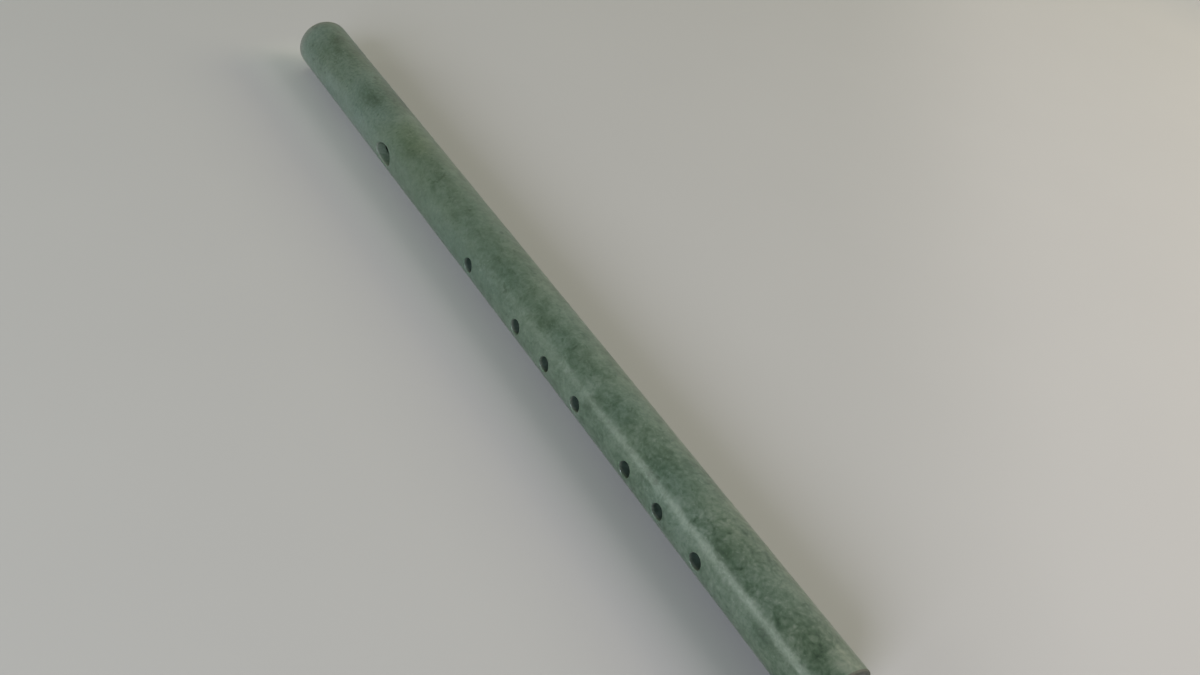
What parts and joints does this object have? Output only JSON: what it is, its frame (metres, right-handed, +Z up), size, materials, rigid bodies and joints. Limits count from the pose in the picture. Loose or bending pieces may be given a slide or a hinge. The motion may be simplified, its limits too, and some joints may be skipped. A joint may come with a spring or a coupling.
{
  "type": "transverse flute",
  "caption": "Transverse flute turned from solid stone: a bored tube with an oval blow hole, a membrane hole and a row of finger holes, closed beside the blow hole by a sliding cork.",
  "frame": {"origin": "middle of the flute's length, on the surface that the flute lies on, straight below the bore's axis", "axes": "+X runs along the bore from the head end to the foot end, -Y points straight out of the row of holes, +Z is up from the surface that the flute lies on"},
  "size_m": [0.4026, 0.025, 0.025],
  "materials": {
    "green_stone": "satin",
    "cork": "matte"
  },
  "bodies": {
    "tube": {"flute_tube": "green_stone"},
    "stopper": {"bore_stopper": "cork"}
  },
  "joints": [
    {"name": "stopper_slide", "type": "slide", "parent": "tube", "child": "stopper", "axis": [-1, 0, 0], "range_m": [-0.0064, 0.074]}
  ]
}
